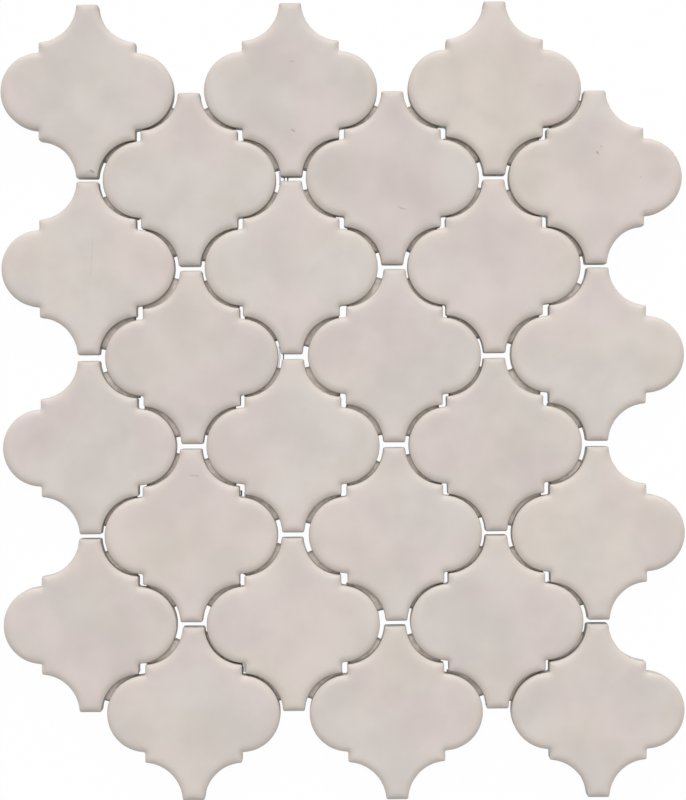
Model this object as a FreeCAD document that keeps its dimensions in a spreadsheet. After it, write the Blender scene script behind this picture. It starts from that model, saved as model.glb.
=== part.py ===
# A mosaic sheet of Moroccan arabesque tiles: six staggered columns of four glazed ceramic tiles,
# bonded into one sheet by pads of cast plastic in the curved joints.
#
# +Z is up and the glazed faces look up. The origin is under the middle of the sheet, in the plane
# of the tiles' backs. X runs across the columns and Y up them. Lengths are in millimetres.

import FreeCAD, Part

import math
import os
import random

import Sketcher

COLUMNS = 6
ROWS = 4
LAYING_SEED = 149  # fixes how the tiles were laid a little off their places

# alias, value, what it is
SIZES = [
    ("pitch_across", 80.3, "Tile to tile along a row, so every second column"),
    ("pitch_down", 70.4, "Tile to tile down one column"),
    ("joint", 1.6, "Width of the curved joints beside the necks"),
    ("flank_shift", 1.33, "How far out from the neighbour's lobe centre a flank is struck"),
    ("neck_joint", 1.8, "Gap between the ends of two necks in a column"),
    ("lobe_gap", 11.8, "Gap between two lobes in a row, where the necks pass"),
    ("step_height", 4.2, "Height of the square steps between the lobes and the flanks"),
    ("flank_drop", 0.33, "How far short of the neighbour's lobe centre the flank is struck"),
    ("step_joint", 1.85, "Gap between two neighbours' square steps"),
    ("thickness", 8.0, "Thickness of a tile, back to face"),
    ("corner_bevel", 0.7, "Easing of the corners seen from above"),
    ("rim_width", 1.2, "Width of the sloping rim round the face"),
    ("rim_drop", 0.9, "How far the rim falls from the face to the walls"),
    ("laying_slip", 0.35, "Most that a tile is laid off its place"),
    ("laying_turn", 0.5, "Most that a tile is laid out of square, degrees"),
    ("pad_height", 3.0, "Height of a bonding pad in its joint"),
    ("pad_start", 18.0, "Where a pad starts, degrees round the lobe from its outer tip"),
    ("pad_start_spread", 8.0, "Most that a pad's start is off its place, degrees"),
    ("pad_end", 81.0, "Where a pad ends, degrees round the lobe from its outer tip"),
    ("pad_end_spread", 5.0, "Most that a pad's end is off its place, degrees"),
]


def make_sheet(doc):
    """The table of driving sizes, and what follows from them."""
    sheet = doc.addObject("Spreadsheet::Sheet", "Sizes")
    derived = [
        ("column_step", "=pitch_across / 2", "Column to column"),
        ("row_stagger", "=pitch_down / 2", "How far neighbouring columns are staggered"),
        ("tile_width", "=pitch_across - lobe_gap", "Lobe to lobe"),
        ("tile_height", "=pitch_down - neck_joint", "Neck to neck"),
        ("shoulder_width", "=column_step - step_joint", "Across the square steps"),
        (
            "lobe_radius",
            "=(row_stagger - flank_drop - joint + flank_shift - step_height) / 2",
            "Radius of the round side lobes",
        ),
        ("lobe_centre", "=tile_width / 2 - lobe_radius", "Middle of a tile to a lobe's centre"),
        ("flank_radius", "=lobe_radius + joint - flank_shift", "Radius of the hollow flanks"),
        (
            "flank_centre_x",
            "=column_step - lobe_centre - flank_shift",
            "Middle of a tile to a flank's centre",
        ),
        ("flank_centre_y", "=row_stagger - flank_drop", "Middle of a tile to a flank's centre"),
    ]
    for row, (alias, value, words) in enumerate(SIZES + derived, start=1):
        sheet.set(f"A{row}", words)
        sheet.set(f"B{row}", str(value))
        sheet.setAlias(f"B{row}", alias)
    doc.recompute()
    return sheet


def plane(body, role):
    """One of the body's own origin planes."""
    return next(f for f in body.Origin.OriginFeatures if f.Role == role)


def draw_outline(sketch, sheet):
    """The arabesque outline: two lobes, four square steps, four hollow flanks and two neck ends."""
    lobe_x, lobe_r = sheet.lobe_centre, sheet.lobe_radius
    flank_x, flank_y, flank_r = sheet.flank_centre_x, sheet.flank_centre_y, sheet.flank_radius
    step_x, neck_y = sheet.shoulder_width / 2, sheet.tile_height / 2
    lobe_y = math.sqrt(lobe_r**2 - (step_x - lobe_x) ** 2)
    shoulder_y = flank_y - math.sqrt(flank_r**2 - (flank_x - step_x) ** 2)
    neck_x = flank_x - math.sqrt(flank_r**2 - (flank_y - neck_y) ** 2)
    lobe_turn = math.atan2(lobe_y, step_x - lobe_x)
    flank_from = math.atan2(neck_y - flank_y, neck_x - flank_x)
    flank_to = math.atan2(shoulder_y - flank_y, step_x - flank_x)

    def arc(x, y, radius, start, end):
        circle = Part.Circle(FreeCAD.Vector(x, y, 0), FreeCAD.Vector(0, 0, 1), radius)
        return sketch.addGeometry(Part.ArcOfCircle(circle, start, end), False)

    def line(x0, y0, x1, y1):
        ends = FreeCAD.Vector(x0, y0, 0), FreeCAD.Vector(x1, y1, 0)
        return sketch.addGeometry(Part.LineSegment(*ends), False)

    def bind(kind, *where, value, to):
        number = sketch.addConstraint(Sketcher.Constraint(kind, *where, value))
        sketch.setExpression(f"Constraints[{number}]", to)

    def hold_from_origin(geometry, point, axis, sign, value, to):
        """The point stands off the origin by a size from the sheet, on the side that sign says."""
        here, origin = (geometry, point), (-1, 1)
        where = (*origin, *here) if sign > 0 else (*here, *origin)
        bind(f"Distance{axis}", *where, value=value, to=to)

    lobes, necks, steps, flanks = {}, {}, {}, {}
    for side in (1, -1):
        middle = 0 if side > 0 else math.pi
        lobes[side] = arc(side * lobe_x, 0, lobe_r, middle - lobe_turn, middle + lobe_turn)
        necks[side] = line(-neck_x, side * neck_y, neck_x, side * neck_y)
    for across in (1, -1):
        for up in (1, -1):
            corner = across, up
            steps[corner] = line(across * step_x, up * lobe_y, across * step_x, up * shoulder_y)
            ends = [
                math.atan2(up * math.sin(a), across * math.cos(a)) for a in (flank_from, flank_to)
            ]
            if across * up < 0:
                ends.reverse()
            if ends[1] < ends[0]:
                ends[1] += 2 * math.pi
            flanks[corner] = arc(across * flank_x, up * flank_y, flank_r, *ends)

    first, last, centre = 1, 2, 3
    for side in (1, -1):
        bind("Radius", lobes[side], value=lobe_r, to="Sizes.lobe_radius")
        sketch.addConstraint(Sketcher.Constraint("PointOnObject", lobes[side], centre, -1))
        hold_from_origin(lobes[side], centre, "X", side, lobe_x, "Sizes.lobe_centre")
        sketch.addConstraint(Sketcher.Constraint("Horizontal", necks[side]))
        hold_from_origin(necks[side], last, "Y", side, neck_y, "Sizes.tile_height / 2")
    for (across, up), step in steps.items():
        flank = flanks[across, up]
        bind("Radius", flank, value=flank_r, to="Sizes.flank_radius")
        hold_from_origin(flank, centre, "X", across, flank_x, "Sizes.flank_centre_x")
        hold_from_origin(flank, centre, "Y", up, flank_y, "Sizes.flank_centre_y")
        sketch.addConstraint(Sketcher.Constraint("Vertical", step))
        hold_from_origin(step, last, "X", across, step_x, "Sizes.shoulder_width / 2")
        at_neck, at_step = (first, last) if across * up > 0 else (last, first)
        lobe_end = last if across * up > 0 else first
        neck_end = last if across > 0 else first
        for joined in (
            (step, first, lobes[across], lobe_end),
            (step, last, flank, at_step),
            (necks[up], neck_end, flank, at_neck),
        ):
            sketch.addConstraint(Sketcher.Constraint("Coincident", *joined))


def edges_at(shape, z):
    """Names of the shape's edges that lie level at one height."""
    boxes = [(f"Edge{i}", edge.BoundBox) for i, edge in enumerate(shape.Edges, start=1)]
    return [name for name, box in boxes if abs(box.ZMin - z) < 1e-6 and abs(box.ZMax - z) < 1e-6]


def slab_of(doc, sheet, name, length, both_ways=False):
    """A body with the tile's outline, square at every edge, as long in Z as an expression says."""
    body = doc.addObject("PartDesign::Body", name)
    sketch = body.newObject("Sketcher::SketchObject", f"outline_{name}")
    sketch.AttachmentSupport = [(plane(body, "XY_Plane"), "")]
    sketch.MapMode = "FlatFace"
    draw_outline(sketch, sheet)
    slab = body.newObject("PartDesign::Pad", f"slab_{name}")
    slab.Profile = sketch
    slab.setExpression("Length", length)
    slab.Midplane = both_ways
    doc.recompute()
    return body, slab


def make_blank(doc, sheet):
    """The tile that all the others are laid as: what two bodies of one outline have in common.

    One has the rim that slopes from the face. The other is longer than a tile is thick, and eased
    along every edge, so that of its easing only the upright corners are left in the tile.
    """
    rimmed, slab = slab_of(doc, sheet, "rimmed_slab", "Sizes.thickness")
    rim = rimmed.newObject("PartDesign::Chamfer", "sloping_rim")
    rim.Base = (slab, edges_at(slab.Shape, sheet.thickness))
    rim.ChamferType = "Two distances"
    rim.setExpression("Size", "Sizes.rim_drop")
    rim.setExpression("Size2", "Sizes.rim_width")

    eased, slab = slab_of(doc, sheet, "eased_column", "4 * Sizes.thickness", both_ways=True)
    corners = eased.newObject("PartDesign::Chamfer", "eased_corners")
    corners.Base = (slab, ["Face1"])
    corners.UseAllEdges = True
    corners.setExpression("Size", "Sizes.corner_bevel")

    blank = doc.addObject("Part::Common", "tile_blank")
    blank.Base, blank.Tool = rimmed, eased
    doc.recompute()
    return blank


def tile_place(column, row):
    """Expressions for where a tile's middle belongs."""
    columns_off = column - (COLUMNS - 1) / 2
    rows_off = (ROWS - 1) / 2 - row
    stagger = 0.5 if column % 2 == 0 else -0.5
    return (
        f"{columns_off} * Sizes.column_step",
        f"{rows_off} * Sizes.pitch_down + {stagger} * Sizes.row_stagger",
    )


def lay_tile(doc, blank, column, row, draw):
    """One glazed tile, lying face up, a little off its place as tiles are laid."""
    name = f"tile_c{column + 1}r{row + 1}"
    tile = doc.addObject("App::Link", name)
    tile.LinkedObject = blank
    tile.Label = name
    slip_x, slip_y, turn = (round(draw.uniform(-1, 1), 2) for _ in range(3))
    place_x, place_y = tile_place(column, row)
    tile.setExpression("Placement.Base.x", f"{place_x} + {slip_x} * Sizes.laying_slip")
    tile.setExpression("Placement.Base.y", f"{place_y} + {slip_y} * Sizes.laying_slip")
    tile.setExpression("Placement.Rotation.Angle", f"{turn} * Sizes.laying_turn")
    return tile


def sector(doc, name, radius, where, start, sweep):
    """A slice of a disc as high as a pad, whose sizes and place are expressions."""
    disc = doc.addObject("Part::Cylinder", name)
    disc.setExpression("Radius", radius)
    disc.setExpression("Height", "Sizes.pad_height")
    disc.setExpression("Angle", sweep)
    disc.setExpression("Placement.Base.x", where[0])
    disc.setExpression("Placement.Base.y", where[1])
    disc.setExpression("Placement.Rotation.Angle", start)
    return disc


def joints_between(gap):
    """The curved joints between two neighbouring columns.

    Each goes round a lobe: its tile's column and row, the side that the lobe is on, and whether
    the joint runs round the lobe's upper or lower half.
    """
    for column, other, across in ((gap, gap + 1, 1), (gap + 1, gap, -1)):
        for row in range(ROWS):
            for up in (1, -1):
                neighbour = row + (column % 2 - other % 2 - up) / 2
                if 0 <= neighbour < ROWS:
                    yield column, row, across, up


def make_pads(doc, tiles, gap, draw):
    """The plastic pads in the joints between two columns, each moulded to the walls beside it."""
    name = f"bonding_pads_{gap + 1}"
    stock = []
    for number, (column, row, across, up) in enumerate(joints_between(gap)):
        place_x, place_y = tile_place(column, row)
        where = f"{place_x} + {across} * Sizes.lobe_centre", place_y
        near, far = (round(draw.uniform(-1, 1), 2) for _ in range(2))
        first = f"(Sizes.pad_start + {near} * Sizes.pad_start_spread)"
        last = f"(Sizes.pad_end + {far} * Sizes.pad_end_spread)"
        start = {
            (1, 1): first,
            (-1, 1): f"180 - {last}",
            (-1, -1): f"180 + {first}",
            (1, -1): f"360 - {last}",
        }[across, up]
        shape = where, start, f"{last} - {first}"
        ring = doc.addObject("Part::Cut", f"pad_stock_{gap + 1}_{number}")
        ring.Base = sector(
            doc, f"pad_outside_{gap + 1}_{number}", "Sizes.lobe_radius + 2 * Sizes.joint", *shape
        )
        ring.Tool = sector(
            doc, f"pad_inside_{gap + 1}_{number}", "Sizes.lobe_radius - Sizes.joint", *shape
        )
        stock.append(ring)
    rings = doc.addObject("Part::Compound", f"pad_stock_{gap + 1}")
    rings.Links = stock
    walls = doc.addObject("Part::Compound", f"walls_{gap + 1}")
    walls.Links = tiles
    pads = doc.addObject("Part::Cut", name)
    pads.Base, pads.Tool = rings, walls
    pads.Label = name
    return pads


def write(doc, pieces):
    """Checks every object, then writes each sub-part to its own file."""
    for thing in doc.Objects:
        if "Invalid" in thing.State or "Error" in thing.State:
            raise SystemExit(f"{thing.Name} failed: {thing.State}")
    os.makedirs("parts", exist_ok=True)
    for piece in pieces:
        shape = Part.getShape(piece)
        if shape.isNull() or not shape.isValid() or not shape.Solids:
            raise SystemExit(f"{piece.Label} has no valid shape")
        shape.exportStep(f"parts/{piece.Label}.step")


def main():
    doc = FreeCAD.newDocument("arabesque_sheet")
    sheet = make_sheet(doc)
    blank = make_blank(doc, sheet)
    draw = random.Random(LAYING_SEED)
    tiles = {
        (column, row): lay_tile(doc, blank, column, row, draw)
        for column in range(COLUMNS)
        for row in range(ROWS)
    }
    doc.recompute()
    pads = []
    for gap in range(COLUMNS - 1):
        beside = [tile for (column, _), tile in tiles.items() if column in (gap, gap + 1)]
        pads.append(make_pads(doc, beside, gap, draw))
    doc.recompute()
    write(doc, [*tiles.values(), *pads])
    return doc


main()
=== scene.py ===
"""Looks of an arabesque mosaic sheet: its glazed tiles and the plastic that bonds them.

Lengths are in metres. +Z is up, the glazed faces look up, and Y runs up the columns of tiles.
"""

import math
import random

import bmesh
import bpy
from mathutils import Matrix, Vector, noise


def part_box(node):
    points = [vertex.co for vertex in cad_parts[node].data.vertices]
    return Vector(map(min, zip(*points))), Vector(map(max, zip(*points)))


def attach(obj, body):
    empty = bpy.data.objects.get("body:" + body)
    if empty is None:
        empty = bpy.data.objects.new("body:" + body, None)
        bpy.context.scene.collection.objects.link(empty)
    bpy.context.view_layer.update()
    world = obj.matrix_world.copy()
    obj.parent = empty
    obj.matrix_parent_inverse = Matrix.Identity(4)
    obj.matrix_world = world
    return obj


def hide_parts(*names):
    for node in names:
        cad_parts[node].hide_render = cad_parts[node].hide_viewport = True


bl_info = {
    "name": "Arabesque Mosaic Sheet",
    "version": (1, 0, 0),
    "blender": (4, 5, 0),
    "location": "View3D > Sidebar > Mosaic",
    "description": "Models a bonded sheet of glazed arabesque tiles",
    "category": "Add Mesh",
}

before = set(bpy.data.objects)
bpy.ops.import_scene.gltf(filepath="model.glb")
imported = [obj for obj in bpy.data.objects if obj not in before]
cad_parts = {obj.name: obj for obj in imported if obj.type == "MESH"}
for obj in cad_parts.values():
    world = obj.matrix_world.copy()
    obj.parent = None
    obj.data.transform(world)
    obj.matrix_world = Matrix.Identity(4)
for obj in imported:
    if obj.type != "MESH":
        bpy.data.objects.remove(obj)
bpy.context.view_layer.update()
MM = 0.001
BODY = "root"

TILE_NODES = sorted(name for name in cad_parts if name.startswith("tile_"))
PAD_NODES = sorted(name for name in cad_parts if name.startswith("bonding_pads_"))
FACE_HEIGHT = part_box(TILE_NODES[0])[1].z

# The photograph's frame in pixels, and where the middle of the sheet lies in it.
PHOTO_WIDTH, PHOTO_HEIGHT = 686, 800
SHEET_MIDDLE_PX = 343.3, 400.9
TILE_PITCH_PX = 178.26  # between two tiles of one column
TILE_PITCH = 70.4 * MM
PHOTO_SCALE = TILE_PITCH / TILE_PITCH_PX
PHOTO_TURN = math.radians(0.33)  # how far the sheet lies turned in the picture

# Marks in the glaze. Each has its start and end in the photograph, in pixels, how far it fades
# out to either side, in millimetres, and how dark it is, from 0 to 1.
MARKS = {
    "neck chip": ((90.6, 170.4), (93.6, 172.2), 0.55, 0.42),
    "neck chip shade": ((88.0, 171.6), (92.0, 171.0), 0.9, 0.12),
    "upper pinhole": ((290.2, 61.4), (293.6, 61.0), 0.4, 0.22),
    "lower pinhole": ((292.0, 129.6), (294.4, 131.2), 0.45, 0.45),
    "scratch start": ((398.2, 206.6), (401.0, 208.2), 0.4, 0.2),
    "scratch end": ((401.0, 208.2), (405.6, 209.0), 0.4, 0.26),
    "hairline top": ((92.8, 241.4), (91.8, 258.0), 0.45, 0.1),
    "hairline foot": ((91.8, 258.0), (90.4, 276.5), 0.45, 0.07),
    "dark speck": ((597.4, 152.4), (598.2, 153.6), 0.45, 0.5),
    "brown speck": ((596.2, 150.9), (597.0, 151.5), 0.4, 0.25),
    "high speck": ((600.8, 146.2), (601.6, 146.8), 0.4, 0.2),
    "small speck": ((640.2, 176.8), (641.0, 177.2), 0.4, 0.22),
    "smear": ((190.6, 475.4), (198.0, 475.8), 0.55, 0.22),
    "faint spot": ((539.4, 85.2), (541.6, 84.8), 0.7, 0.07),
}
MARK_CORE = 0.2  # share of that fade over which a mark is fully dark

# Plastic drawn across open joints. Each bit has its start and end in the photograph, in pixels,
# and its width in millimetres.
FILMS = {
    "step film": ((243.4, 661.0), (243.2, 673.8), 1.6),
    "corner film": ((244.3, 493.0), (244.3, 497.2), 0.8),
    "neck film top": ((278.8, 170.6), (279.6, 177.6), 0.8),
    "neck film foot": ((279.6, 177.6), (279.4, 183.6), 0.8),
    "long film top": ((278.6, 345.5), (279.6, 356.4), 0.5),
    "long film foot": ((279.6, 356.4), (278.2, 367.2), 0.5),
}
THREADS = {
    "step thread": ((242.5, 668.6), (242.6, 674.2), 0.3),
    # Painted shadow: the corner bit is a dark bar put where a small hole in the joint lies in
    # shade.
    "corner shadow": ((240.6, 491.0), (240.6, 496.4), 0.75),
    "neck thread left": ((283.9, 175.8), (283.9, 182.2), 0.45),
    "neck thread right": ((287.4, 176.0), (287.4, 182.0), 0.6),
    "lower neck thread": ((283.1, 353.4), (283.1, 359.6), 0.5),
}

# How many runs each stretch of a tile's outline is cut into.
LOBE_RUNS = 22
CROOK_RUNS = 5
STEP_RUNS = 2
EAR_RUNS = 4
FLANK_RUNS = 18
TIP_RUNS = 4
NECK_RUNS = 2

# Where the rings of a tile lie: in the rounding of its foot, as a share of it, up its wall,
# round its rim, and in over the slope of its face.
FOOT_EASE = 0.3
WALL_SHARES = 0.35, 0.7, 1
RIM_STEPS = 6
SLOPE_SHARES = 0.14, 0.21, 0.29, 0.39, 0.52, 0.7, 1
FACE_SQUARE = 2.2 * MM  # side of the squares that the flat face is scored into
WAVE_LENGTH = 17 * MM  # about how far apart the slow waves in the face lie

# The end face of a tile's upper neck: how squarely it faces +Y, the most that it may lean, and
# how near the tile's far end it lies.
END_FACING = 0.95
END_LEAN = 0.01
END_DEPTH = 1 * MM

# How many runs a pad is cut into along its joint, and how many columns across it.
PAD_RUNS = 20
PAD_COLUMNS = 6
PAD_BOW = 1 * MM  # how far a pad's middle point lies inside the arc that it follows
SEAT_REACH = 3 * MM  # the most between the centres of a lobe and of the flanks round it

# How many runs a drawn bit has along it, and how many sides round it.
BIT_RUNS = 6
BIT_SIDES = 10
BIT_WAIST = 0.2  # share of its width that a drawn bit loses in its middle

SEED = 7
SEED_REACH = 9  # how far off in the noise a tile's waves may be picked from
MERGE = 0.001 * MM  # points nearer than about this are one point
SHARP_EDGE = math.radians(50)
SHARP_BIT_EDGE = math.radians(60)

NOISE_SPREAD = 0.3, 0.7  # where most values of a noise lie
PATCH_SPREAD = 0.36, 0.66  # the same for the broad patches in the glaze
MOTTLE = 0.94, 1.04  # lightness of the glaze from its darkest clouds to its palest
OWN_SHIFT = 3.0  # the most that a tile's own number moves its patterns
BLUSH_SHIFT = 0.7, 0.4, 0.0  # keeps the pink patches apart from the yellow ones
WHITE = 1, 1, 1, 1
FLOOR_PAINT = 0.9, 0.9, 0.9, 1
FLOOR_REACH = 4.0
FLOOR_GAP = 0.02 * MM  # the floor lies this far below the back, so that they don't touch


def from_photo(across, down):
    """The place on the sheet, at z = 0, that a pixel of the photograph shows."""
    aside = (across - SHEET_MIDDLE_PX[0]) * PHOTO_SCALE
    ahead = (SHEET_MIDDLE_PX[1] - down) * PHOTO_SCALE
    return Matrix.Rotation(-PHOTO_TURN, 3, "Z") @ Vector((aside, ahead, 0))


def tint(red, green, blue):
    """A colour as a paint chart gives it, 0 to 255, as the light that it sends back."""
    channels = [c / 255 for c in (red, green, blue)]
    linear = [c / 12.92 if c <= 0.04045 else ((c + 0.055) / 1.055) ** 2.4 for c in channels]
    return (*linear, 1.0)


def length(name, description, millimetres):
    """A size that a user may change."""
    return bpy.props.FloatProperty(
        name=name, description=description, default=millimetres * MM, min=0.0,
        precision=5, unit="LENGTH", subtype="DISTANCE",
    )


def degrees(name, description, default):
    """An angle that a user may change."""
    return bpy.props.FloatProperty(
        name=name, description=description, default=math.radians(default), min=0.0,
        subtype="ANGLE",
    )


def colour(name, description, *channels):
    """A colour that a user may change."""
    return bpy.props.FloatVectorProperty(
        name=name, description=description, default=tint(*channels), min=0.0, max=1.0,
        size=4, subtype="COLOR",
    )


def amount(name, description, default, high=1.0):
    """A plain number that a user may change."""
    return bpy.props.FloatProperty(
        name=name, description=description, default=default, min=0.0, max=high
    )


class TileSettings(bpy.types.PropertyGroup):
    """Form and glaze of a tile."""

    lobe_centre: length("Lobe centre", "From the tile's middle to a lobe's centre", 19.05)
    lobe_radius: length("Lobe radius", "Radius of the round side lobes", 15.2)
    flank_x: length("Flank centre X", "From the tile's middle to a hollow flank's centre", 19.77)
    flank_y: length("Flank centre Y", "From the tile's middle to a hollow flank's centre", 34.87)
    flank_radius: length("Flank radius", "Radius of the hollow flanks", 15.47)
    shoulder: length("Shoulder", "From the tile's middle to a shoulder's upright step", 19.15)
    neck: length("Neck", "From the tile's middle to a neck's end", 34.3)
    corner: length("Corner radius", "Rounding of the corners seen from above", 0.75)
    roll: length("Rim radius", "Tight rounding where the face turns into the wall", 0.35)
    slope_width: length("Slope width", "How far in from the wall the face starts to fall", 4.0)
    slope_drop: length("Slope drop", "How much the face falls before the rim", 1.2)
    slope_power: amount("Slope power", "How much of that fall lies close to the rim", 3.2, high=9.0)
    foot: length("Foot", "Rounding round the back", 0.3)
    ripple: length("Ripple", "Height of the slow waves in the face", 0.07)
    glaze: colour("Glaze", "Main colour of the glaze", 212, 205, 200)
    glaze_warm: colour("Warm glaze", "Colour of the glaze where it leans to yellow", 214, 204, 193)
    glaze_blush: colour("Blush glaze", "Colour of the glaze where it leans to pink", 215, 201, 197)
    glaze_thin: colour("Thin glaze", "Colour where the glaze runs thin over the rim", 212, 202, 193)
    # Painted shade: the walls and the last of the rim turn darker and greyer, standing in for the
    # shade along the tiles' edges.
    wall_shade: colour("Wall glaze", "Grey, dusty glaze on the walls below the rim", 156, 152, 146)
    neck_shade: amount("Neck shade", "Lightness of the glaze at the necks' ends", 0.88)
    neck_share: amount("Neck share", "Where on the neck that shade starts, as a share of it", 0.9)
    mark: colour("Marks", "Pinholes, specks and scratches in the glaze", 92, 82, 76)
    clay: colour("Clay", "Bare fired clay low on the walls and on the back", 218, 205, 188)
    glaze_foot: length("Glaze foot", "Height on the walls where the glaze ends", 2.6)


class PadSettings(bpy.types.PropertyGroup):
    """Form and finish of the plastic pads, films and threads."""

    low_end: amount("Low end", "Height of a pad's ends, as a share of its middle", 0.3)
    blunt: amount("Blunt end", "How slowly an end rises: low is blunt, high is drawn out", 0.25)
    meniscus: amount("Meniscus", "How far the top sags between the walls", 0.15)
    end_hollow: degrees("End hollow", "How far round its arc an end is drawn in", 2.2)
    # Painted shade: a pad is darkened in from its ends over this length, for the shade at its ends
    # deep in the joint.
    tail: length("Tail", "How far in from its ends a pad is darkened by dust", 1.7)
    tail_shade: amount("Tail shade", "Lightness of a pad's ends", 0.45)
    plastic: colour("Plastic", "Colour of the cast plastic", 243, 233, 225)
    film: colour("Film", "Colour of the clear plastic drawn across a gap", 204, 198, 232)
    film_cover: amount("Film cover", "Share of what lies behind a film that it hides", 0.38)
    # This colour also paints the dark bar of painted shadow in one corner.
    thread: colour("Thread", "Colour of the dark threads drawn across a gap", 58, 55, 60)
    bit_height: length("Bit height", "Height of the films and threads above the back", 2.2)
    bit_flatness: amount("Bit flatness", "Thickness of a film or thread to its width", 0.4)


class StageSettings(bpy.types.PropertyGroup):
    """Camera and light."""

    distance: length("Camera distance", "From the camera to the glazed faces", 850.0)
    sky: amount("Sky", "Brightness of the light from all round", 0.327, high=4.0)
    window: amount("Window", "Strength of the wide light past the sheet's top", 1.83, high=9.0)
    window_height: degrees("Window height", "How high the wide light stands above the floor", 33)
    window_width: degrees("Window width", "How wide the wide light looks from the sheet", 60)
    overhead: amount("Overhead", "Strength of the soft light above the sheet", 1.06, high=9.0)
    overhead_height: degrees("Overhead height", "How high the soft light stands", 78)
    overhead_width: degrees("Overhead width", "How wide the soft light looks from the sheet", 40)
    floor_shadow: amount("Floor shadow", "Share of the floor that takes shadows", 0.03)


def grow(bm, row, edges, closed=False):
    """Extrudes a row of edges, and gives the new points, in the row's order, and their edges."""
    grown = bmesh.ops.extrude_edge_only(bm, edges=edges)["geom"]
    fresh = {g for g in grown if isinstance(g, bmesh.types.BMVert)}
    row = [next(e.other_vert(v) for e in v.link_edges if e.other_vert(v) in fresh) for v in row]
    following = row[1:] + row[:1] if closed else row[1:]
    return row, [bm.edges.get(pair) for pair in zip(row, following)]


def each_once(parts):
    """Parts of a mesh without repeats, in the order that they came in."""
    return list(dict.fromkeys(parts))


def mesh_of(bm, name):
    """A mesh made from a finished bmesh, which is freed."""
    mesh = bpy.data.meshes.new(name)
    bm.to_mesh(mesh)
    bm.free()
    return mesh


def smooth(mesh, sharp_edge):
    """Smooth shading, apart from the edges that are sharper than an angle."""
    mesh.shade_smooth()
    mesh.set_sharp_from_angle(angle=sharp_edge)


def new_piece(name, mesh, node_names, material):
    """Puts a finished mesh in the scene as a piece, which may stand for nodes of the frame."""
    piece = bpy.data.objects.new(name, mesh)
    bpy.context.scene.collection.objects.link(piece)
    mesh.materials.append(material)
    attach(piece, BODY)
    if node_names:
        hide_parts(*node_names)


def chain_points(tile, inset):
    """A quarter of the outline, drawn in by an inset, from a lobe's tip to the middle of a neck."""
    lobe = Vector((tile.lobe_centre, 0, 0))
    flank = Vector((tile.flank_x, tile.flank_y, 0))
    step_x = tile.shoulder - inset
    neck_y = tile.neck - inset
    inner = tile.corner + inset
    outer = max(tile.corner - inset, 0)
    lobe_reach = tile.lobe_radius - inset + inner
    flank_reach = tile.flank_radius + inset + outer

    crook_x = step_x + inner
    crook_y = math.sqrt(lobe_reach**2 - (crook_x - lobe.x) ** 2)
    crook = Vector((crook_x, crook_y, 0))
    ear_x = step_x - outer
    ear = Vector((ear_x, flank.y - math.sqrt(flank_reach**2 - (flank.x - ear_x) ** 2), 0))
    tip_y = neck_y - outer
    tip = Vector((flank.x - math.sqrt(flank_reach**2 - (flank.y - tip_y) ** 2), tip_y, 0))

    lobe_turn = math.atan2(crook.y, crook.x - lobe.x)
    ear_turn = math.atan2(flank.y - ear.y, flank.x - ear.x)
    tip_turn = math.atan2(flank.y - tip.y, flank.x - tip.x)

    bm = bmesh.new()
    last = [bm.verts.new((lobe.x + tile.lobe_radius - inset, 0, 0))]

    def sweep(centre, angle, runs):
        """An arc from the last point, round a centre."""
        spun = bmesh.ops.spin(
            bm, geom=last, cent=centre, axis=(0, 0, 1), angle=angle, steps=runs
        )
        last[:] = [g for g in spun["geom_last"] if isinstance(g, bmesh.types.BMVert)]

    def run(end, runs):
        """A straight line from the last point to an end."""
        stride = (Vector(end) - last[0].co) / runs
        for _ in range(runs):
            grown = bmesh.ops.extrude_vert_indiv(bm, verts=last)
            last[:] = grown["verts"]
            bmesh.ops.translate(bm, verts=last, vec=stride)

    sweep(lobe, lobe_turn, LOBE_RUNS)
    sweep(crook, -lobe_turn, CROOK_RUNS)
    run((step_x, ear.y, 0), STEP_RUNS)
    sweep(ear, ear_turn, EAR_RUNS)
    sweep(flank, tip_turn - ear_turn, FLANK_RUNS)
    sweep(tip, math.pi / 2 - tip_turn, TIP_RUNS)
    run((0, neck_y, 0), NECK_RUNS)
    points = [v.co.copy() for v in bm.verts]
    bm.free()
    return points


def wall_profile(tile, height):
    """Inset and height of each ring of a tile, from its back up over the rim to the flat face."""
    def fall(inset):
        left = 1 - min(inset / tile.slope_width, 1)
        return tile.slope_drop * left**tile.slope_power

    eased = FOOT_EASE * tile.foot
    rings = [(tile.foot, 0), (eased, eased), (0, tile.foot)]
    wall_top = height - tile.roll - fall(0)
    rings += [(0, wall_top * share) for share in WALL_SHARES]
    for step in range(1, RIM_STEPS + 1):
        angle = step * math.pi / 2 / RIM_STEPS
        inset = tile.roll * (1 - math.cos(angle))
        rings.append((inset, height - fall(inset) - tile.roll * (1 - math.sin(angle))))
    for share in SLOPE_SHARES:
        inset = tile.slope_width * share
        rings.append((inset, height - fall(inset)))
    return rings


def tile_blank(tile, height):
    """One tile about the origin: a quarter drawn up ring by ring, then mirrored twice."""
    bm = bmesh.new()
    rim = bm.verts.layers.float.new("rim")
    neck = bm.verts.layers.float.new("neck")
    rings = wall_profile(tile, height)
    inset, level = rings[0]
    chain = [bm.verts.new(p + Vector((0, 0, level))) for p in chain_points(tile, inset)]
    edges = [bm.edges.new(pair) for pair in zip(chain, chain[1:])]
    back = chain, edges, level
    for inset, level in rings[1:]:
        chain, edges = grow(bm, chain, edges)
        for vert, point in zip(chain, chain_points(tile, inset)):
            vert.co = point + Vector((0, 0, level))
            vert[rim] = 1 - inset / tile.slope_width
            vert[neck] = (point.y / tile.neck - tile.neck_share) / (1 - tile.neck_share)
    close_quarter(bm, *back)
    close_quarter(bm, chain, edges, level)
    for axis in ("X", "Y"):
        bmesh.ops.mirror(
            bm, geom=bm.verts[:] + bm.edges[:] + bm.faces[:], axis=axis, merge_dist=MERGE
        )
    bmesh.ops.remove_doubles(bm, verts=bm.verts, dist=2 * MERGE)
    bmesh.ops.recalc_face_normals(bm, faces=bm.faces)
    return mesh_of(bm, "tile_blank")


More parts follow.
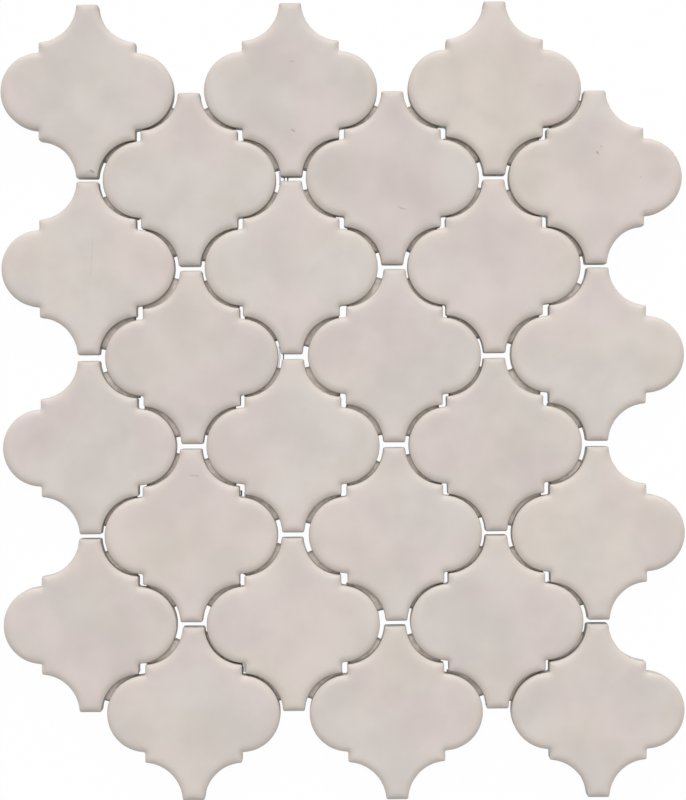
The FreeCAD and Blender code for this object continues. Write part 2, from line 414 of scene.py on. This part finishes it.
def close_quarter(bm, chain, edges, level):
    """Closes a ring in to the middle, and scores the face into small squares."""
    middle = bm.verts.new((0, 0, level))
    border = edges + [bm.edges.new((chain[-1], middle)), bm.edges.new((middle, chain[0]))]
    face = bmesh.ops.contextual_create(bm, geom=border)["faces"]
    reach = max(abs(c) for v in chain for c in v.co)
    for axis in (Vector((1, 0, 0)), Vector((0, 1, 0))):
        for line in range(1, math.ceil(reach / FACE_SQUARE)):
            edges_of = [e for f in face for e in f.edges]
            verts_of = [v for f in face for v in f.verts]
            cut = bmesh.ops.bisect_plane(
                bm, geom=each_once(face + edges_of + verts_of), dist=MERGE / 10,
                plane_co=axis * line * FACE_SQUARE, plane_no=axis,
            )
            face = [g for g in cut["geom"] if isinstance(g, bmesh.types.BMFace)]


def laid(node):
    """Where a tile of the frame lies: its middle, and its turn read from its upper neck's end."""
    low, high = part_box(node)
    middle = (low + high) / 2
    normal = Vector((0, 0, 0))
    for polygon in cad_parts[node].data.polygons:
        squarely = polygon.normal.y > END_FACING and abs(polygon.normal.z) < END_LEAN
        if squarely and polygon.center.y > high.y - END_DEPTH:
            normal += polygon.normal * polygon.area
    return Vector((middle.x, middle.y, 0)), math.atan2(-normal.x, normal.y)


def on_tile(place, across, up):
    """A point of the sheet, given from the middle of a laid tile along the tile's own axes."""
    middle, turn = place
    return middle + Matrix.Rotation(turn, 3, "Z") @ Vector((across, up, 0))


def wrap(angle):
    """An angle between minus half a turn and half a turn."""
    return (angle + math.pi) % (2 * math.pi) - math.pi


def reach_circle(origin, ray, centre, radius):
    """How far from a point inside a circle a ray runs to the circle."""
    offset = origin - centre
    along = offset.dot(ray)
    return -along + math.sqrt(along**2 - offset.length_squared + radius**2)


def islands(node):
    """The corner points of each separate solid in a node of the frame."""
    bm = bmesh.new()
    bm.from_mesh(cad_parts[node].data)
    bmesh.ops.remove_doubles(bm, verts=bm.verts, dist=10 * MERGE)
    seen = set()
    found = []
    for first in bm.verts:
        if first in seen:
            continue
        seen.add(first)
        spread = [first]
        points = []
        while spread:
            vert = spread.pop()
            points.append(vert.co.copy())
            near = [e.other_vert(vert) for e in vert.link_edges]
            fresh = [v for v in near if v not in seen]
            seen.update(fresh)
            spread += fresh
        found.append(points)
    bm.free()
    return found


class Nodes:
    """Builds the node tree of a material or a world, one named node at a time."""

    def __init__(self, owner):
        owner.use_nodes = True
        self.tree = owner.node_tree
        self.tree.nodes.clear()

    def add(self, kind, settings=None, **inputs):
        """A node, with its settings and inputs. A socket's spaces are written as underscores."""
        node = self.tree.nodes.new("ShaderNode" + kind)
        for name, value in (settings or {}).items():
            setattr(node, name, value)
        for name, value in inputs.items():
            self.set(node, name.replace("_", " "), value)
        return node

    def set(self, node, socket, value):
        """Links another node's output to a socket, or writes a plain value on it."""
        target = node.inputs[socket]
        if isinstance(value, bpy.types.NodeSocket):
            self.tree.links.new(value, target)
        else:
            target.default_value = value

    def attribute(self, name):
        """A number that a piece's mesh holds at each point."""
        return self.add("Attribute", {"attribute_name": name}).outputs["Fac"]

    def maths(self, operation, *values, clamp=False):
        """The result of a sum on numbers."""
        node = self.add("Math", {"operation": operation, "use_clamp": clamp})
        for place, value in enumerate(values):
            self.set(node, place, value)
        return node.outputs[0]

    def vector(self, operation, *values):
        """The result of a sum on vectors: a number for DOT_PRODUCT and LENGTH."""
        node = self.add("VectorMath", {"operation": operation})
        for place, value in enumerate(values):
            self.set(node, place, value)
        return node.outputs["Value" if operation in ("DOT_PRODUCT", "LENGTH") else "Vector"]

    def span(self, value, between, gives=(0.0, 1.0)):
        """A smooth change from one number to another as a value crosses a range."""
        node = self.add("MapRange", {"interpolation_type": "SMOOTHSTEP"}, Value=value)
        for name, number in zip(("From Min", "From Max", "To Min", "To Max"), (*between, *gives)):
            node.inputs[name].default_value = number
        return node.outputs["Result"]

    def blend(self, factor, first, second, kind="MIX"):
        """Two colours blended. Socket 0 is the factor, and 6 and 7 are the colours."""
        node = self.add("Mix", {"data_type": "RGBA", "blend_type": kind})
        for place, value in zip((0, 6, 7), (factor, first, second)):
            self.set(node, place, value)
        return node.outputs[2]

    def shade(self, tone, lightness):
        """A colour made lighter or darker by a number."""
        grey = self.add("CombineXYZ", X=lightness, Y=lightness, Z=lightness)
        return self.blend(1.0, tone, grey.outputs[0], "MULTIPLY")

    def noise(self, vector, scale, detail=2.0, roughness=0.5):
        """Soft random clouds, between 0 and 1."""
        return self.add(
            "TexNoise", Vector=vector, Scale=scale, Detail=detail, Roughness=roughness
        ).outputs["Fac"]

    def stroke(self, place, start, end, fade):
        """How near a point is to a line across the sheet, 1 on it and 0 where it has faded."""
        run = end - start
        ahead = self.vector("SUBTRACT", place, start)
        share = self.maths(
            "DIVIDE", self.vector("DOT_PRODUCT", ahead, run), run.length_squared, clamp=True
        )
        nearest = self.add("VectorMath", {"operation": "SCALE"}, Scale=share)
        self.set(nearest, 0, run)
        off = self.vector("SUBTRACT", ahead, nearest.outputs[0])
        level = self.vector("MULTIPLY", off, Vector((1, 1, 0)))
        return self.span(self.vector("LENGTH", level), (MARK_CORE * fade, fade), (1.0, 0.0))

    def mix_shaders(self, factor, first, second):
        """A node that shows the first shader where the factor is 0, and the second where 1."""
        node = self.add("MixShader")
        for place, value in enumerate((factor, first.outputs[0], second.outputs[0])):
            self.set(node, place, value)
        return node

    def finish(self, shader, kind="OutputMaterial"):
        """Sends a shader to the tree's output."""
        output = self.add(kind)
        self.tree.links.new(shader.outputs[0], output.inputs["Surface"])


def glaze_colour(n, tile, place, local, own, mottle):
    """Colour of the glaze: its patches, clouds, thin rims, shaded necks, the grey painted shade on
    its walls, and marks.
    """
    rim = n.attribute("rim")
    drift = n.noise(local, scale=28.0, detail=1.0)
    warm = n.maths("ADD", n.span(drift, PATCH_SPREAD, (0.0, 0.45)), n.maths("MULTIPLY", own, 0.25))
    face = n.blend(warm, tile.glaze, tile.glaze_warm)
    elsewhere = n.vector("ADD", local, BLUSH_SHIFT)
    blush = n.span(n.noise(elsewhere, scale=30.0, detail=1.0), PATCH_SPREAD, (0.0, 0.65))
    face = n.blend(blush, face, tile.glaze_blush)
    own_lightness = n.span(own, (0.0, 1.0), (0.99, 1.03))
    face = n.shade(face, n.maths("MULTIPLY", mottle, own_lightness))
    face = n.blend(n.span(rim, (0.05, 1.0), (0.0, 0.8)), face, tile.glaze_thin)
    face = n.shade(face, n.span(n.attribute("neck"), (0.0, 1.0), (1.0, tile.neck_shade)))
    # Painted shade: darker, greyer glaze on the walls and the last of the rim, for the shade along
    # the tiles' edges.
    face = n.blend(n.span(rim, (0.93, 1.0), (0.0, 0.75)), face, tile.wall_shade)
    for start, end, fade, darkness in MARKS.values():
        stroke = n.stroke(place, from_photo(*start), from_photo(*end), fade * MM)
        face = n.blend(n.maths("MULTIPLY", stroke, darkness), face, tile.mark)
    return face


def glaze_material(tile):
    """Soft-gloss glaze that thins over the rim, above bare clay low on the walls and below."""
    material = bpy.data.materials.new("satin_glaze")
    n = Nodes(material)
    place = n.add("TexCoord").outputs["Object"]
    own = n.attribute("tone")
    shift = n.add("CombineXYZ", Z=n.maths("MULTIPLY", own, OWN_SHIFT)).outputs[0]
    local = n.vector("ADD", place, shift)
    mottle = n.span(n.noise(local, scale=50.0, detail=3.0), NOISE_SPREAD, MOTTLE)

    waves = n.add("Bump", Height=n.noise(local, scale=45.0, detail=1.0), Strength=0.25,
                  Distance=1.2 * MM)
    peel = n.add("Bump", Height=n.noise(place, scale=900.0), Strength=0.06, Distance=0.1 * MM,
                 Normal=waves.outputs[0])
    glazed = n.add(
        "BsdfPrincipled", Base_Color=glaze_colour(n, tile, place, local, own, mottle),
        Roughness=n.span(mottle, MOTTLE, (0.37, 0.45)), Normal=peel.outputs[0],
        IOR=1.5, Specular_IOR_Level=0.45,
    )

    grain = n.span(n.noise(place, scale=1400.0, detail=4.0, roughness=0.7), NOISE_SPREAD,
                   (0.86, 1.08))
    grit = n.add("Bump", Height=n.noise(place, scale=1800.0, detail=4.0, roughness=0.7),
                 Strength=0.5, Distance=0.15 * MM)
    bisque = n.add("BsdfPrincipled", Base_Color=n.shade(tile.clay, grain), Roughness=0.9,
                   Normal=grit.outputs[0])

    height = n.add("SeparateXYZ", Vector=place).outputs["Z"]
    wander = n.span(n.noise(local, scale=220.0), NOISE_SPREAD, (-0.5 * MM, 0.5 * MM))
    bare = n.maths("GREATER_THAN", n.maths("ADD", wander, tile.glaze_foot), height)
    n.finish(n.mix_shaders(bare, glazed, bisque))
    return material


def plastic_material(pad):
    """Matte cast plastic, a little cloudy, with painted shade that darkens it towards its ends."""
    material = bpy.data.materials.new("cast_plastic")
    n = Nodes(material)
    place = n.add("TexCoord").outputs["Object"]
    cloud = n.span(n.noise(place, scale=350.0, detail=3.0), NOISE_SPREAD, (0.85, 1.1))
    # Painted shade: darker towards the pad's ends, where they lie deep in the joint.
    end_shade = n.span(n.attribute("tail"), (0.1, 1.0), (1.0, pad.tail_shade))
    base = n.shade(pad.plastic, n.maths("MULTIPLY", cloud, end_shade))
    bump = n.add("Bump", Height=n.noise(place, scale=1200.0, detail=3.0), Strength=0.3,
                 Distance=0.1 * MM)
    n.finish(n.add("BsdfPrincipled", Base_Color=base, Roughness=0.55, Normal=bump.outputs[0]))
    return material


def drawn_material(name, tone, cover):
    """Smooth plastic that was drawn out thin, and may let what lies behind it through."""
    material = bpy.data.materials.new(name)
    n = Nodes(material)
    place = n.add("TexCoord").outputs["Object"]
    cloud = n.span(n.noise(place, scale=900.0), NOISE_SPREAD, (0.85, 1.15))
    base = n.shade(tone, cloud)
    n.finish(n.add("BsdfPrincipled", Base_Color=base, Roughness=0.3, Alpha=cover))
    return material


class MOSAIC_OT_lay_tiles(bpy.types.Operator):
    """Models the glazed tile and lays a copy on each tile of the frame"""

    bl_idname = "mosaic.lay_tiles"
    bl_label = "Lay Tiles"

    def execute(self, context):
        tile = context.scene.mosaic_tile
        blank = tile_blank(tile, FACE_HEIGHT)
        material = glaze_material(tile)
        draw = random.Random(SEED)
        for node in TILE_NODES:
            middle, turn = laid(node)
            mesh = blank.copy()
            mesh.name = f"glazed_{node}"
            mesh.transform(Matrix.Translation(middle) @ Matrix.Rotation(turn, 4, "Z"))
            seed = Vector([draw.uniform(-SEED_REACH, SEED_REACH) for _ in range(3)])
            self.ripple(mesh, tile, middle, seed)
            own = draw.random()
            tone = mesh.attributes.new("tone", "FLOAT", "POINT")
            tone.data.foreach_set("value", [own] * len(mesh.vertices))
            smooth(mesh, SHARP_EDGE)
            new_piece(mesh.name, mesh, [node], material)
        bpy.data.meshes.remove(blank)
        return {"FINISHED"}

    def ripple(self, mesh, tile, middle, seed):
        """Sinks the face a little here and there, as glaze settles on a pressed tile."""
        rim = mesh.attributes["rim"].data
        for vert in mesh.vertices:
            if vert.co.z > FACE_HEIGHT - tile.roll:
                dip = noise.noise((vert.co - middle) / WAVE_LENGTH + seed) * 0.5 + 0.5
                vert.co.z -= tile.ripple * dip * (1 - max(rim[vert.index].value, 0))


class MOSAIC_OT_mould_pads(bpy.types.Operator):
    """Moulds the plastic pads in the curved joints between the tiles"""

    bl_idname = "mosaic.mould_pads"
    bl_label = "Mould Pads"

    def execute(self, context):
        tile, pad = context.scene.mosaic_tile, context.scene.mosaic_pad
        places = [laid(node) for node in TILE_NODES]
        lobes = [
            on_tile(place, side * tile.lobe_centre, 0) for place in places for side in (1, -1)
        ]
        flanks = [
            (on_tile(place, across * tile.flank_x, up * tile.flank_y), place[0])
            for place in places for across in (1, -1) for up in (1, -1)
        ]
        material = plastic_material(pad)
        for node in PAD_NODES:
            bm = bmesh.new()
            bm.verts.layers.float.new("tail")
            for island in islands(node):
                self.mould(bm, island, lobes, flanks, tile, pad)
            bmesh.ops.recalc_face_normals(bm, faces=bm.faces)
            mesh = mesh_of(bm, f"cast_{node}")
            smooth(mesh, SHARP_EDGE)
            new_piece(mesh.name, mesh, [node], material)
        return {"FINISHED"}

    def seat(self, centre, lobes, flanks, joint_radius):
        """The centres of the lobe and of the hollow flank that the pad lies between."""
        lobe = min(lobes, key=lambda c: abs((c - centre).length - joint_radius + PAD_BOW))
        beside = [pair for pair in flanks if (pair[0] - lobe).length < SEAT_REACH]
        flank = min(beside, key=lambda pair: (pair[1] - centre).length)[0]
        return lobe, flank

    def mould(self, bm, island, lobes, flanks, tile, pad):
        """One pad: a low band round a lobe, from its wall to the neighbour's hollow flank."""
        joint_radius = (tile.lobe_radius + tile.flank_radius) / 2
        centre = sum(island, Vector()) / len(island)
        centre.z = 0
        lobe, flank = self.seat(centre, lobes, flanks, joint_radius)
        middle = math.atan2(centre.y - lobe.y, centre.x - lobe.x)
        angles = [wrap(math.atan2(p.y - lobe.y, p.x - lobe.x) - middle) for p in island]
        start, end = min(angles), max(angles)
        reach = (end - start) * joint_radius
        top = max(p.z for p in island)
        shares = [column / PAD_COLUMNS for column in range(PAD_COLUMNS + 1)]
        section = [(share, 1) for share in shares] + [(1, 0), (0, 0)]

        def run_share(step):
            """How far along the pad a ring lies. The rings stand closer near the ends."""
            return (1 - math.cos(math.pi * step / PAD_RUNS)) / 2

        def tail_share(step):
            """1 at the pad's ends, falling to 0 where its tail of painted shade stops."""
            along = run_share(step)
            return max(1 - min(along, 1 - along) * reach / pad.tail, 0)

        def place(share, up, step):
            """A point of a ring: its share of the way across, and 1 at the top or 0 below."""
            along = run_share(step)
            crown = math.sin(math.pi * along) ** pad.blunt
            sag = 1 - (2 * share - 1) ** 2
            angle = start + (end - start) * along
            if step == 0:
                angle += pad.end_hollow * sag
            elif step == PAD_RUNS:
                angle -= pad.end_hollow * sag
            height = top * (pad.low_end + (1 - pad.low_end) * crown) * (1 - pad.meniscus * sag)
            ray = Vector((math.cos(middle + angle), math.sin(middle + angle), 0))
            wall = reach_circle(lobe, ray, flank, tile.flank_radius)
            radius = tile.lobe_radius + (wall - tile.lobe_radius) * share
            return lobe + ray * radius + Vector((0, 0, height * up))

        tail = bm.verts.layers.float["tail"]
        ring = [bm.verts.new(place(share, up, 0)) for share, up in section]
        for vert in ring:
            vert[tail] = tail_share(0)
        edges = [bm.edges.new(pair) for pair in zip(ring, ring[1:] + ring[:1])]
        bmesh.ops.contextual_create(bm, geom=edges)
        for step in range(1, PAD_RUNS + 1):
            ring, edges = grow(bm, ring, edges, closed=True)
            for vert, (share, up) in zip(ring, section):
                vert.co = place(share, up, step)
                vert[tail] = tail_share(step)
        bmesh.ops.contextual_create(bm, geom=edges)


class MOSAIC_OT_draw_bits(bpy.types.Operator):
    """Draws the thin films and threads of plastic across the open joints, and a dark bar of painted
    shadow in one corner
    """

    bl_idname = "mosaic.draw_bits"
    bl_label = "Draw Bits"

    def execute(self, context):
        pad = context.scene.mosaic_pad
        film = drawn_material("clear_film", pad.film, pad.film_cover)
        thread = drawn_material("dark_thread_and_shadow", pad.thread, 1.0)
        self.draw_all("clear_films", FILMS, film, pad)
        self.draw_all("dark_threads_and_shadow", THREADS, thread, pad)
        return {"FINISHED"}

    def draw_all(self, name, bits, material, pad):
        """All bits of one kind, as one piece."""
        bm = bmesh.new()
        lift = Vector((0, 0, pad.bit_height))
        for start, end, width in bits.values():
            ends = from_photo(*start) + lift, from_photo(*end) + lift
            self.draw_out(bm, *ends, width * MM, pad.bit_flatness)
        bmesh.ops.recalc_face_normals(bm, faces=bm.faces)
        mesh = mesh_of(bm, name)
        smooth(mesh, SHARP_BIT_EDGE)
        new_piece(name, mesh, [], material)

    def draw_out(self, bm, start, end, width, flatness):
        """A flat ribbon from end to end, narrower and lower in its middle."""
        run = end - start
        facing = Matrix.Rotation(math.atan2(run.y, run.x), 4, "Z")
        upright = Matrix.Rotation(math.pi / 2, 4, "Y")
        made = bmesh.ops.create_circle(
            bm, cap_ends=True, segments=BIT_SIDES, radius=width / 2,
            matrix=Matrix.Translation(start) @ facing @ upright,
        )
        bmesh.ops.scale(
            bm, verts=made["verts"], vec=(1, 1, flatness), space=Matrix.Translation(-start)
        )
        edges = each_once(e for v in made["verts"] for e in v.link_edges)
        centre = start
        girth = 1.0
        for step in range(1, BIT_RUNS + 1):
            grown = bmesh.ops.extrude_edge_only(bm, edges=edges)["geom"]
            ring = [g for g in grown if isinstance(g, bmesh.types.BMVert)]
            edges = [
                g for g in grown
                if isinstance(g, bmesh.types.BMEdge) and all(v in ring for v in g.verts)
            ]
            bow = math.sin(math.pi * step / BIT_RUNS)
            goal = start + run * step / BIT_RUNS - Vector((0, 0, width * bow / 2))
            bmesh.ops.translate(bm, verts=ring, vec=goal - centre)
            centre = goal
            next_girth = 1 - BIT_WAIST * bow
            bmesh.ops.scale(
                bm, verts=ring, vec=(next_girth / girth,) * 3, space=Matrix.Translation(-centre)
            )
            girth = next_girth
        bmesh.ops.contextual_create(bm, geom=edges)


class MOSAIC_OT_set_stage(bpy.types.Operator):
    """Sets the white floor, the sky, the two lamps and the camera above the sheet"""

    bl_idname = "mosaic.set_stage"
    bl_label = "Set Stage"

    def execute(self, context):
        scene = context.scene
        stage = scene.mosaic_stage
        scene.view_settings.view_transform = "Standard"
        self.floor(scene, stage)
        self.sky(scene, stage)
        self.lamp(scene, "window", stage.window, stage.window_width, stage.window_height)
        overhead = self.lamp(
            scene, "overhead", stage.overhead, stage.overhead_width, stage.overhead_height
        )
        overhead.visible_glossy = False
        self.camera(scene, stage)
        return {"FINISHED"}

    def floor(self, scene, stage):
        """A floor that looks white, and keeps a little of the sheet's shadow."""
        bm = bmesh.new()
        bmesh.ops.create_grid(bm, x_segments=1, y_segments=1, size=FLOOR_REACH)
        floor = bpy.data.objects.new("floor", mesh_of(bm, "floor"))
        floor.location.z = -FLOOR_GAP
        scene.collection.objects.link(floor)
        material = bpy.data.materials.new("white_floor")
        n = Nodes(material)
        rays = n.add("LightPath")
        seen = n.maths("MAXIMUM", rays.outputs["Is Camera Ray"], rays.outputs["Is Glossy Ray"])
        lit = n.maths("MULTIPLY", seen, 1 - stage.floor_shadow)
        paint = n.add("BsdfDiffuse", Color=FLOOR_PAINT)
        glow = n.add("Emission", Color=WHITE, Strength=1.0)
        n.finish(n.mix_shaders(lit, paint, glow))
        floor.data.materials.append(material)

    def sky(self, scene, stage):
        """Soft light from all round, which the camera sees as plain white."""
        world = bpy.data.worlds.new("studio")
        scene.world = world
        n = Nodes(world)
        seen = n.add("LightPath").outputs["Is Camera Ray"]
        soft = n.add("Background", Color=WHITE, Strength=stage.sky)
        white = n.add("Background", Color=WHITE, Strength=1.0)
        n.finish(n.mix_shaders(seen, soft, white), "OutputWorld")

    def lamp(self, scene, name, strength, width, height):
        """A wide, far light on the side of the sheet's top, at an angle above the floor."""
        data = bpy.data.lights.new(name, "SUN")
        data.energy = strength
        data.angle = width
        lamp = bpy.data.objects.new(name, data)
        lamp.rotation_euler = (height - math.pi / 2, 0, 0)
        scene.collection.objects.link(lamp)
        return lamp

    def camera(self, scene, stage):
        """The camera straight above, framed and turned as the photograph is."""
        data = bpy.data.cameras.new("camera")
        data.sensor_width = 36.0
        data.lens = data.sensor_width * stage.distance / (PHOTO_HEIGHT * PHOTO_SCALE)
        camera = bpy.data.objects.new("camera", data)
        aside = (PHOTO_WIDTH / 2 - SHEET_MIDDLE_PX[0]) * PHOTO_SCALE
        ahead = (SHEET_MIDDLE_PX[1] - PHOTO_HEIGHT / 2) * PHOTO_SCALE
        camera.location = (aside, ahead, FACE_HEIGHT + stage.distance)
        camera.rotation_euler = (0, 0, -PHOTO_TURN)
        scene.collection.objects.link(camera)
        scene.camera = camera


class MOSAIC_PT_panel(bpy.types.Panel):
    """Sizes, colours and steps of the mosaic sheet"""

    bl_label = "Arabesque Mosaic"
    bl_idname = "MOSAIC_PT_panel"
    bl_space_type = "VIEW_3D"
    bl_region_type = "UI"
    bl_category = "Mosaic"

    def draw(self, context):
        for settings, operators in (
            (context.scene.mosaic_tile, (MOSAIC_OT_lay_tiles,)),
            (context.scene.mosaic_pad, (MOSAIC_OT_mould_pads, MOSAIC_OT_draw_bits)),
            (context.scene.mosaic_stage, (MOSAIC_OT_set_stage,)),
        ):
            box = self.layout.box()
            for name in settings.__annotations__:
                box.prop(settings, name)
            for operator in operators:
                box.operator(operator.bl_idname)


CLASSES = (
    TileSettings,
    PadSettings,
    StageSettings,
    MOSAIC_OT_lay_tiles,
    MOSAIC_OT_mould_pads,
    MOSAIC_OT_draw_bits,
    MOSAIC_OT_set_stage,
    MOSAIC_PT_panel,
)


def register():
    for cls in CLASSES:
        bpy.utils.register_class(cls)
    bpy.types.Scene.mosaic_tile = bpy.props.PointerProperty(type=TileSettings)
    bpy.types.Scene.mosaic_pad = bpy.props.PointerProperty(type=PadSettings)
    bpy.types.Scene.mosaic_stage = bpy.props.PointerProperty(type=StageSettings)


def unregister():
    del bpy.types.Scene.mosaic_stage
    del bpy.types.Scene.mosaic_pad
    del bpy.types.Scene.mosaic_tile
    for cls in reversed(CLASSES):
        bpy.utils.unregister_class(cls)


def main():
    register()
    bpy.ops.mosaic.lay_tiles()
    bpy.ops.mosaic.mould_pads()
    bpy.ops.mosaic.draw_bits()
    bpy.ops.mosaic.set_stage()


if __name__ == "__main__":
    main()
